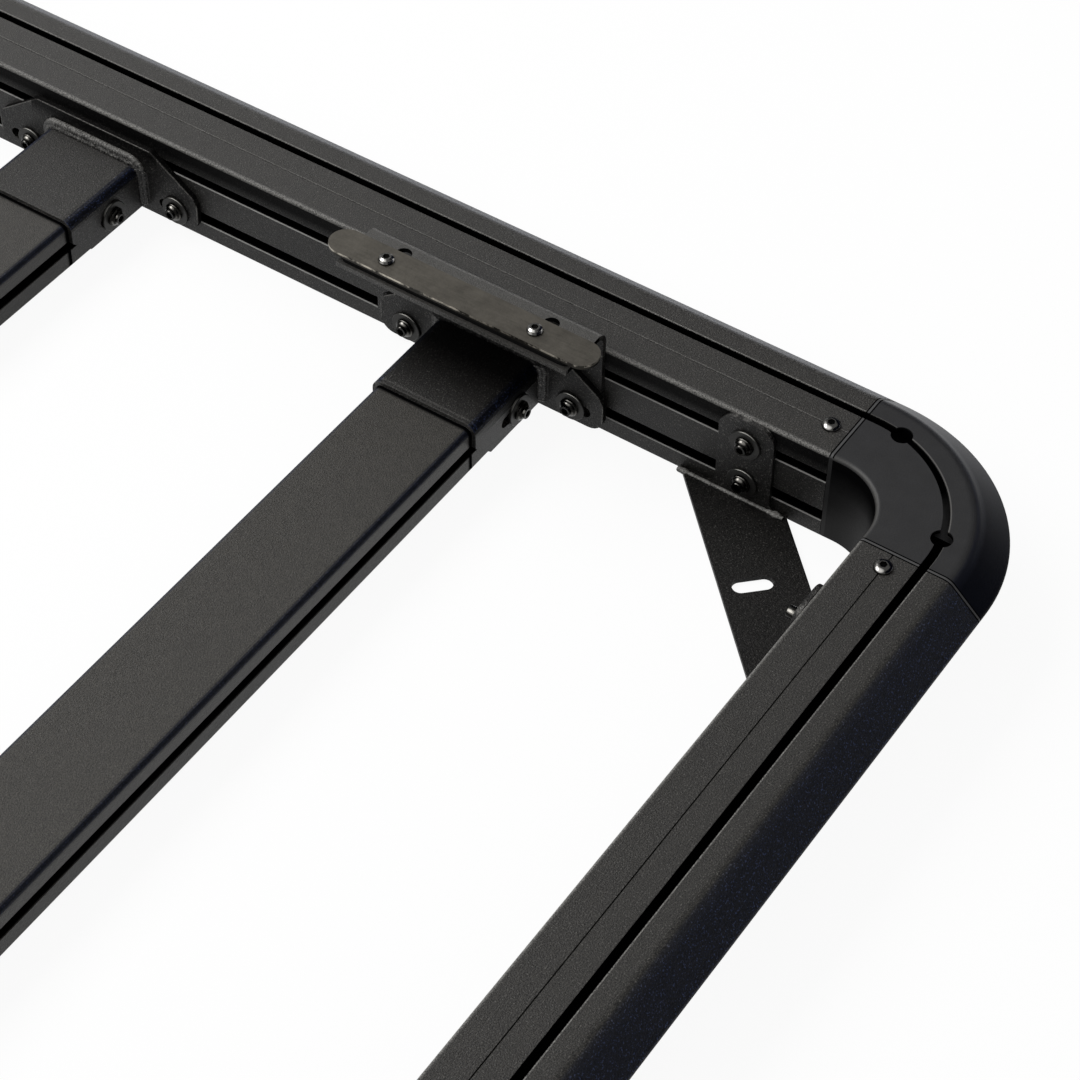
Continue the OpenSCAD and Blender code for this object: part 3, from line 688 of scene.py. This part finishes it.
def bolt(bm, place, sizes, longer=0.0):
    """Washer, and a flanged dome head whose socket stands out as a short nose."""
    washer, t = sizes.washer_d / 2, sizes.washer_t
    turned(bm, place, [
        (washer - 0.1 * MM, -0.05 * MM), (washer, 0.1 * MM), (washer, t - 0.3 * MM),
        (washer - 0.3 * MM, t), (3.2 * MM, t + 0.01 * MM)], 0)
    r, h = sizes.bolt_d / 2, sizes.bolt_h
    turned(bm, place @ Matrix.Translation((0, 0, t)), [
        (r * 1.02, -0.05 * MM, "teeth"), (r * 1.04, 0.25 * h, "teeth"),
        (r * 0.98, 0.32 * h, "teeth"), (r * 0.93, 0.35 * h), (r * 0.88, 0.5 * h),
        (r * 0.77, 0.62 * h), (r * 0.66, 0.68 * h), (r * 0.64, 0.92 * h + longer),
        (r * 0.6, h + longer), (r * 0.52, h + longer), (4.5 * MM, h + longer - 0.12 * MM, "hex"),
        (4.4 * MM, h + longer - 2.4 * MM, "hex"), (1.2 * MM, h + longer - 2.6 * MM)], 1)


def small_screw(bm, place, sizes):
    """Button head of a 5 mm screw, with a dark plug in its socket as painted shade."""
    r, h = sizes.screw_d / 2, sizes.screw_h
    turned(bm, place, [
        (r * 0.98, -0.3 * MM), (r, 0.15 * h), (r * 0.985, 0.3 * h), (r * 0.93, 0.5 * h),
        (r * 0.83, 0.7 * h), (r * 0.7, 0.86 * h), (r * 0.55, 0.97 * h), (r * 0.46, h),
        (4.2 * MM, h - 0.05 * MM, "hex"), (4.1 * MM, h - 1.9 * MM, "hex"),
        (1.5 * MM, h - 2.0 * MM)])
    # Dark plug in the socket: painted shade
    turned(bm, place, [
        (4.4 * MM, h - 1.7 * MM, "hex"), (4.4 * MM, h - 0.3 * MM, "hex")], 1)


class RackColors(bpy.types.PropertyGroup):
    """Colours of the rack's finishes."""

    rail: FloatVectorProperty(
        name="Rail coat", description="Powder coat on the four rails",
        default=(0.0222, 0.0208, 0.0185), min=0, max=1, subtype="COLOR")
    slat: FloatVectorProperty(
        name="Slat coat", description="Powder coat on the cross slats",
        default=(0.0275, 0.0252, 0.0215), min=0, max=1, subtype="COLOR")
    casting: FloatVectorProperty(
        name="Corner coat", description="Satin coat on the cast corners",
        default=(0.017, 0.0168, 0.0175), min=0, max=1, subtype="COLOR")
    sheet: FloatVectorProperty(
        name="Sheet coat", description="Grainy coat on brackets, gussets and feet",
        default=(0.0142, 0.0133, 0.0122), min=0, max=1, subtype="COLOR")
    gasket: FloatVectorProperty(
        name="Gasket", description="Rubber strip between a corner and a rail",
        default=(0.040, 0.040, 0.040), min=0, max=1, subtype="COLOR")
    pad: FloatVectorProperty(
        name="Foot pad", description="Rubber pad under the clamp bar",
        default=(0.003, 0.003, 0.003), min=0, max=1, subtype="COLOR")
    bar: FloatVectorProperty(
        name="Clamp bar", description="Bare steel of the clamp bars",
        default=(0.066, 0.061, 0.052), min=0, max=1, subtype="COLOR")
    stainless: FloatVectorProperty(
        name="Stainless", description="Screws in the rails' flat faces and in the bars",
        default=(0.42, 0.41, 0.39), min=0, max=1, subtype="COLOR")
    bolt: FloatVectorProperty(
        name="Bolt black", description="Black finish of the 6 mm bolts",
        default=(0.026, 0.025, 0.023), min=0, max=1, subtype="COLOR")
    washer: FloatVectorProperty(
        name="Washer", description="Dark finish of the washers",
        default=(0.020, 0.0195, 0.018), min=0, max=1, subtype="COLOR")


class RackHardware(bpy.types.PropertyGroup):
    """Sizes of the fasteners."""

    washer_d: FloatProperty(
        name="Washer diameter", description="Across the washers of the 6 mm bolts",
        default=18.2 * MM, unit="LENGTH")
    washer_t: FloatProperty(
        name="Washer thickness", description="Thickness of those washers",
        default=1.5 * MM, unit="LENGTH")
    bolt_d: FloatProperty(
        name="Bolt head diameter", description="Across the button heads of the 6 mm bolts",
        default=10.5 * MM, unit="LENGTH")
    bolt_h: FloatProperty(
        name="Bolt head height", description="Height of those heads above the washer",
        default=4.7 * MM, unit="LENGTH")
    screw_d: FloatProperty(
        name="Screw head diameter", description="Across the heads of the 5 mm screws",
        default=10.2 * MM, unit="LENGTH")
    screw_h: FloatProperty(
        name="Screw head height", description="Height of those heads",
        default=2.7 * MM, unit="LENGTH")


class RackStudio(bpy.types.PropertyGroup):
    """Light of the studio."""

    key_power: FloatProperty(
        name="Key light", description="Power of the soft light behind and to the left",
        default=105.0, unit="POWER")
    sky: FloatProperty(
        name="Surround", description="Level of the light from all round", default=0.45, min=0)


class RACK_OT_finishes(bpy.types.Operator):
    """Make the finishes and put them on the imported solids"""

    bl_idname = "rack.finishes"
    bl_label = "Finishes"

    def execute(self, context):
        colors = context.scene.rack_colors
        rail_finish(colors)
        slat_finish(colors)
        casting_finish(colors)
        sheet_finish(colors)
        weld_finish(colors)
        gasket_finish(colors)
        rubber_finish(colors)
        bar_finish(colors)
        washer_finish(colors)
        steel_finish("bolt_black", colors.bolt, 0.35, 7.0, 0.22)
        # Dark plug in the screws' sockets: painted shade
        steel_finish("socket_dark", colors.washer, 0.05, 0.2, 0.5)
        steel_finish("screw_steel", colors.stainless, 0.12, 1.3, 0.18)
        slots = {row["node"]: row["material_slot"] for row in frame["record"]["subparts"]}
        for name, node in frame["nodes"].items():
            node.data.materials.clear()
            node.data.materials.append(bpy.data.materials[slots[name]])
        return {"FINISHED"}


def bracket_face(i, side):
    """X of the end plate's visible face."""
    low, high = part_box(f"bracket_{i}_{side}")
    return high.x - PLATE_T if SIDES[side] > 0 else low.x + PLATE_T


# How far the brackets' bolts sit from the middles of their slots: as photographed, and elsewhere
PLATE_PLAY = {(1, "right"): (2.4 * MM, 0.0), (2, "right"): (-2.0 * MM, -5.0 * MM)}
USUAL_PLATE_PLAY = (0.7 * MM, -0.9 * MM)
SADDLE_PLAY = {1: 5.5 * MM, 2: 0.0}
USUAL_SADDLE_PLAY = 1.5 * MM


class RACK_OT_bracket_bolts(bpy.types.Operator):
    """Bolts and washers that hold each bracket to its rail and slat"""

    bl_idname = "rack.bracket_bolts"
    bl_label = "Bracket bolts"

    def execute(self, context):
        sizes = context.scene.rack_hardware
        for side, sign in SIDES.items():
            for i in SLATS:
                bm = bmesh.new()
                face = bracket_face(i, side)
                y = SLAT_Y[i]
                play = PLATE_PLAY.get((i, side), USUAL_PLATE_PLAY)
                saddle_x = face - sign * (SADDLE_SLOT_U - SADDLE_PLAY.get(i, USUAL_SADDLE_PLAY))
                for turn, step in enumerate((-1, 1)):
                    bolt(bm, stand(
                        (face, y + step * PLATE_BOLT_GAP / 2 + play[turn], LOWER_SLOT_Z),
                        (-sign, 0, 0), i + turn), sizes)
                    bolt(bm, stand(
                        (saddle_x, y + step * SADDLE_HALF_W, SLAT_MID_Z),
                        (0, step, 0), 2 * i + turn), sizes)
                finish_piece(
                    f"bolts_bracket_{i}_{side}", bm, ["washer_dark", "bolt_black"])
        return {"FINISHED"}


# How much further the bolts' noses stand out on the end rails' tabs
END_BOLT_LONGER = 2.5 * MM


class RACK_OT_gusset_bolts(bpy.types.Operator):
    """Bolts and washers that hold each gusset to its two rails"""

    bl_idname = "rack.gusset_bolts"
    bl_label = "Gusset bolts"

    def execute(self, context):
        sizes = context.scene.rack_hardware
        for end, ey in ENDS.items():
            for side, sx in SIDES.items():
                bm = bmesh.new()
                for z in (LOWER_SLOT_Z, UPPER_SLOT_Z):
                    bolt(bm, stand(
                        (sx * (INNER_X - GUSSET_T), ey * (INNER_Y - TAB_MID), z),
                        (-sx, 0, 0), z * 90), sizes)
                    bolt(bm, stand(
                        (sx * (INNER_X - TAB_MID), ey * (INNER_Y - GUSSET_T), z),
                        (0, -ey, 0), z * 50), sizes, END_BOLT_LONGER)
                finish_piece(
                    f"bolts_gusset_{end}_{side}", bm, ["washer_dark", "bolt_black"])
        return {"FINISHED"}


class RACK_OT_rail_screws(bpy.types.Operator):
    """Screws on the scribed lines that hold the corners' tenons"""

    bl_idname = "rack.rail_screws"
    bl_label = "Rail screws"

    def execute(self, context):
        sizes = context.scene.rack_hardware
        for end, ey in ENDS.items():
            for side, sx in SIDES.items():
                bm = bmesh.new()
                small_screw(bm, stand(
                    (sx * (INNER_X + SCRIBE_U), ey * (SIDE_RAIL_END - SCREW_INSET), RAIL_H),
                    (0, 0, 1), 0.4), sizes)
                small_screw(bm, stand(
                    (sx * (END_RAIL_END - SCREW_INSET), ey * (INNER_Y + SCRIBE_U), RAIL_H),
                    (0, 0, 1), 0.9), sizes)
                finish_piece(
                    f"screws_{end}_{side}", bm, ["screw_steel", "socket_dark"])
        return {"FINISHED"}


class RACK_OT_foot_screws(bpy.types.Operator):
    """Ends of the foot screws, with their nuts, under each foot's flange"""

    bl_idname = "rack.foot_screws"
    bl_label = "Foot screw ends"

    def execute(self, context):
        for end, ey in ENDS.items():
            for side, sx in SIDES.items():
                i = OUTER_SLATS[0] if ey < 0 else OUTER_SLATS[1]
                bm = bmesh.new()
                for step in (-1, 1):
                    y = SLAT_Y[i] - ey * FOOT_SHIFT + step * FOOT_SCREW_GAP / 2
                    place = stand((sx * (INNER_X - FOOT_U), y, FLANGE_Z - FOOT_T), (0, 0, -1), y)
                    turned(bm, place, [
                        (8.6 * MM, -0.05 * MM, "hex"), (9.2 * MM, 0.4 * MM, "hex"),
                        (9.2 * MM, 3.4 * MM, "hex"), (8.4 * MM, 4.0 * MM, "hex"),
                        (2.6 * MM, 4.0 * MM)])
                    turned(bm, place, [
                        (2.45 * MM, 3.5 * MM), (2.45 * MM, 6.6 * MM), (2.0 * MM, 7.1 * MM)])
                finish_piece(f"nuts_foot_{end}_{side}", bm, ["washer_dark"])
        return {"FINISHED"}


# Step along a weld bead in millimetres, and how high the bead is at the sides and more on top
BEAD_STEP = 0.55
BEAD_RISE = 0.62
BEAD_TOP_RISE = 0.2


def saddle_path(half_w, top_z, low_z):
    """Points round the outside of a saddle, each with its outward direction."""
    step = BEAD_STEP * MM
    corner = Vector((half_w - SADDLE_R, top_z - SADDLE_R))
    count = int((corner.y - low_z) / step)
    legs = [(Vector((half_w, low_z + (corner.y - low_z) * k / count)), Vector((1, 0)))
            for k in range(count)]
    count = int(SADDLE_R * math.pi / 2 / step)
    for k in range(count):
        a = math.pi / 2 * k / count
        out = Vector((math.cos(a), math.sin(a)))
        legs.append((corner + SADDLE_R * out, out))
    count = int(corner.x / step)
    legs += [(Vector((corner.x * (1 - k / count), top_z)), Vector((0, 1)))
             for k in range(count + 1)]
    mirrored = [(Vector((-p.x, p.y)), Vector((-out.x, out.y))) for p, out in legs[-2::-1]]
    return legs + mirrored


# Section of a bead, in millimetres: height above the saddle, distance from the plate
BEAD = [(-0.5, -0.5), (6.2, -0.5), (6.8, 0.3), (6.7, 1.3), (6.0, 2.3), (5.0, 2.9), (3.8, 3.1),
        (2.8, 3.3), (2.0, 3.7), (1.2, 4.0), (0.4, 4.1), (-0.5, 4.0)]


class RACK_OT_weld_beads(bpy.types.Operator):
    """Weld beads where each saddle meets its end plate"""

    bl_idname = "rack.weld_beads"
    bl_label = "Weld beads"

    def execute(self, context):
        path = saddle_path(SADDLE_HALF_W, SLAT_HIGH.z + SADDLE_T, WELD_LOW_Z)
        for side, sign in SIDES.items():
            for i in SLATS:
                face = bracket_face(i, side)
                rows = []
                for k, (spot, out) in enumerate(path):
                    run = k * BEAD_STEP
                    rise = BEAD_RISE + BEAD_TOP_RISE * max(0.0, out.y)
                    row = []
                    for m, (n, d) in enumerate(BEAD):
                        ripple = 1 + 0.05 * math.sin(run * 3.6 + m * 0.35)
                        seed = Vector((run * 0.7, m * 0.6, i * 7.3 + sign * 3.1))
                        rough = 0.28 * noise.noise(seed) if min(n, d) > -0.5 else 0.0
                        n_out = (n * rise * ripple + rough) * MM
                        d_out = (d * (0.55 + 0.45 * rise) * ripple + rough) * MM
                        where = spot + out * n_out
                        row.append(Vector((face - sign * d_out, SLAT_Y[i] + where.x, where.y)))
                    rows.append(row)
                bm = bmesh.new()
                swept(bm, rows)
                finish_piece(f"weld_{i}_{side}", bm, ["weld_coat"], 60.0)
        return {"FINISHED"}


# Steps along a gusset's rough edge, points round it, and where it is thicker: step and extra
EDGE_STEPS = 110
EDGE_POINTS = 10
EDGE_LUMPS = ((8, 0.9), (104, 0.5))


class RACK_OT_gusset_edges(bpy.types.Operator):
    """Rough outer edges of each gusset's bends"""

    bl_idname = "rack.gusset_edges"
    bl_label = "Gusset bend edges"

    def execute(self, context):
        for end, ey in ENDS.items():
            for side, sx in SIDES.items():
                bm = bmesh.new()
                for swap in (False, True):
                    rows = []
                    for k in range(EDGE_STEPS + 1):
                        along = GUSSET_NEAR + (GUSSET_FAR - GUSSET_NEAR) * k / EDGE_STEPS
                        bulge = 1.0
                        for middle, extra in EDGE_LUMPS:
                            bulge += extra * math.exp(-((k - middle) / 5) ** 2)
                        bulge += 0.35 * noise.noise(Vector((k * 0.31, sx * 3.0, ey * 5.0 + swap)))
                        row = []
                        for m in range(EDGE_POINTS):
                            a = math.tau * m / EDGE_POINTS
                            u = GUSSET_T + 0.6 * MM + bulge * 1.3 * MM * math.cos(a)
                            z = GUSSET_T + 0.2 * MM + bulge * 1.1 * MM * math.sin(a)
                            x, y = (along, u) if swap else (u, along)
                            row.append(Vector((sx * (INNER_X - x), ey * (INNER_Y - y), z)))
                        rows.append(row)
                    swept(bm, rows)
                finish_piece(f"gusset_edge_{end}_{side}", bm, ["weld_coat"], 60.0)
        return {"FINISHED"}


# The stage, in metres. Each card: its two feet in X and Y, then its bottom and top
FLOOR_REACH = 14.0
FLOOR_Z = -0.0002
FLOOR_WHITENESS = 0.93
CARD_COLOR = (0.020, 0.025, 0.058)
CARDS = {"dark_card": (-1.5, -3.2, 4.5, -3.2, 0.25, 3.4),
         "side_card": (2.1, -3.2, 2.1, 0.4, 0.01, 1.5)}
LAMP_SIZE = (4.6, 1.6)
LAMP_AIM = Vector((0.35, -0.5, 0.05))
LAMP_DIRECTION = Vector((-0.12, 0.66, 0.74))
LAMP_DISTANCE = 3.2

# The photograph's camera, with its lens and sensor in millimetres
SENSOR_W = 36.0
FOCAL_LENGTH = 98.458
CAMERA_PLACE = Matrix((
    (0.56016, 0.60681, -0.56392, -0.3710),
    (-0.82831, 0.41913, -0.37178, -1.2114),
    (0.01076, 0.67536, 0.73741, 1.1323),
    (0.0, 0.0, 0.0, 1.0)))


def plain_sheet(name, corners, material):
    """A flat face of the stage."""
    bm = bmesh.new()
    bm.faces.new([bm.verts.new(corner) for corner in corners])
    mesh = bpy.data.meshes.new(name)
    bm.to_mesh(mesh)
    bm.free()
    sheet = bpy.data.objects.new(name, mesh)
    bpy.context.scene.collection.objects.link(sheet)
    mesh.materials.append(material)
    return sheet


def seen_rays(tree):
    """Above 0 for rays from the camera and for reflected and transmitted ones."""
    rays = tree.nodes.new("ShaderNodeLightPath").outputs
    return (Wire(tree, rays["Is Camera Ray"]) + Wire(tree, rays["Is Glossy Ray"])
            + Wire(tree, rays["Is Transmission Ray"]))


def floor_finish():
    """Pale floor: white to the camera and in reflections, with the rack's soft shadow kept."""
    finish = Finish("floor")
    seen = finish.ramp(seen_rays(finish.tree), 0.0, 1.0)
    matt = finish.add("BsdfDiffuse", sockets={"Color": rgba(WHITE, 0.96)})
    white = finish.add("Emission", sockets={"Color": rgba(WHITE), "Strength": 1.0})
    shader = finish.add(
        "MixShader", sockets={0: seen * FLOOR_WHITENESS, 1: matt, 2: white})
    finish.add("OutputMaterial", sockets={"Surface": shader})
    return finish.material


def add_cards():
    """Dark cards that only reflections show, in front of the rack and to the right."""
    dark = Finish("dark_card")
    coat = dark.add("BsdfDiffuse", sockets={"Color": rgba(CARD_COLOR)})
    dark.add("OutputMaterial", sockets={"Surface": coat})
    for name, (x1, y1, x2, y2, low, high) in CARDS.items():
        card = plain_sheet(name, [(x1, y1, low), (x2, y2, low), (x2, y2, high), (x1, y1, high)],
                           dark.material)
        card.visible_camera = card.visible_shadow = card.visible_diffuse = False


def add_world(scene, sky):
    """White to the camera and in reflections, and dimmer as a light."""
    world = bpy.data.worlds.new("studio")
    world.use_nodes = True
    tree = world.node_tree
    tree.nodes.clear()
    seen = seen_rays(tree) & 1.0
    ground = tree.nodes.new("ShaderNodeBackground")
    ground.inputs["Color"].default_value = rgba(WHITE)
    plug(tree, ground.inputs["Strength"], seen * (1 - sky) + sky)
    out = tree.nodes.new("ShaderNodeOutputWorld")
    tree.links.new(ground.outputs[0], out.inputs[0])
    scene.world = world


def add_key_light(scene, power):
    """Soft light behind the rack, with its long side across it."""
    lamp = bpy.data.lights.new("key_light", "AREA")
    lamp.shape = "RECTANGLE"
    lamp.size, lamp.size_y = LAMP_SIZE
    lamp.energy = power
    key = bpy.data.objects.new("key_light", lamp)
    scene.collection.objects.link(key)
    back = LAMP_DIRECTION.normalized()
    long_way = Vector((1, 0, 0)).cross(back).cross(back).normalized()
    key.matrix_world = Matrix.Translation(LAMP_AIM + back * LAMP_DISTANCE) @ Matrix(
        (long_way, back.cross(long_way), back)).transposed().to_4x4()


def add_camera(scene):
    """The camera worked out from the photograph."""
    lens = bpy.data.cameras.new("camera")
    lens.sensor_width = SENSOR_W
    lens.lens = FOCAL_LENGTH
    lens.clip_start = 0.05
    lens.clip_end = 100.0
    camera = bpy.data.objects.new("camera", lens)
    scene.collection.objects.link(camera)
    camera.matrix_world = CAMERA_PLACE
    scene.camera = camera


class RACK_OT_stage(bpy.types.Operator):
    """Floor, surround, soft light and the photograph's camera"""

    bl_idname = "rack.stage"
    bl_label = "Studio"

    def execute(self, context):
        studio = context.scene.rack_studio
        scene = context.scene
        corners = [(x * FLOOR_REACH, y * FLOOR_REACH, FLOOR_Z)
                   for x, y in ((-1, -1), (1, -1), (1, 1), (-1, 1))]
        plain_sheet("floor", corners, floor_finish())
        add_cards()
        add_world(scene, studio.sky)
        add_key_light(scene, studio.key_power)
        add_camera(scene)
        scene.view_settings.view_transform = "Standard"
        return {"FINISHED"}


OPERATORS = (
    RACK_OT_finishes, RACK_OT_bracket_bolts, RACK_OT_gusset_bolts, RACK_OT_rail_screws,
    RACK_OT_foot_screws, RACK_OT_weld_beads, RACK_OT_gusset_edges, RACK_OT_stage)


class VIEW3D_PT_rack(bpy.types.Panel):
    """Roof rack pieces and settings"""

    bl_label = "Roof Rack"
    bl_space_type = "VIEW_3D"
    bl_region_type = "UI"
    bl_category = "Roof Rack"

    def draw(self, context):
        for operator in OPERATORS:
            self.layout.operator(operator.bl_idname)
        for group in ("rack_colors", "rack_hardware", "rack_studio"):
            settings = getattr(context.scene, group)
            box = self.layout.box()
            for name in settings.__annotations__:
                box.prop(settings, name)


GROUPS = {"rack_colors": RackColors, "rack_hardware": RackHardware, "rack_studio": RackStudio}


def register():
    for group in GROUPS.values():
        bpy.utils.register_class(group)
    for name, group in GROUPS.items():
        setattr(bpy.types.Scene, name, PointerProperty(type=group))
    for operator in OPERATORS:
        bpy.utils.register_class(operator)
    bpy.utils.register_class(VIEW3D_PT_rack)


def unregister():
    bpy.utils.unregister_class(VIEW3D_PT_rack)
    for operator in reversed(OPERATORS):
        bpy.utils.unregister_class(operator)
    for name, group in GROUPS.items():
        delattr(bpy.types.Scene, name)
        bpy.utils.unregister_class(group)


def main():
    register()
    for operator in OPERATORS:
        piece = operator.bl_idname.split(".")[1]
        if getattr(bpy.ops.rack, piece)() != {"FINISHED"}:
            raise RuntimeError(f"{operator.bl_label} was not made")


if __name__ == "__main__":
    main()
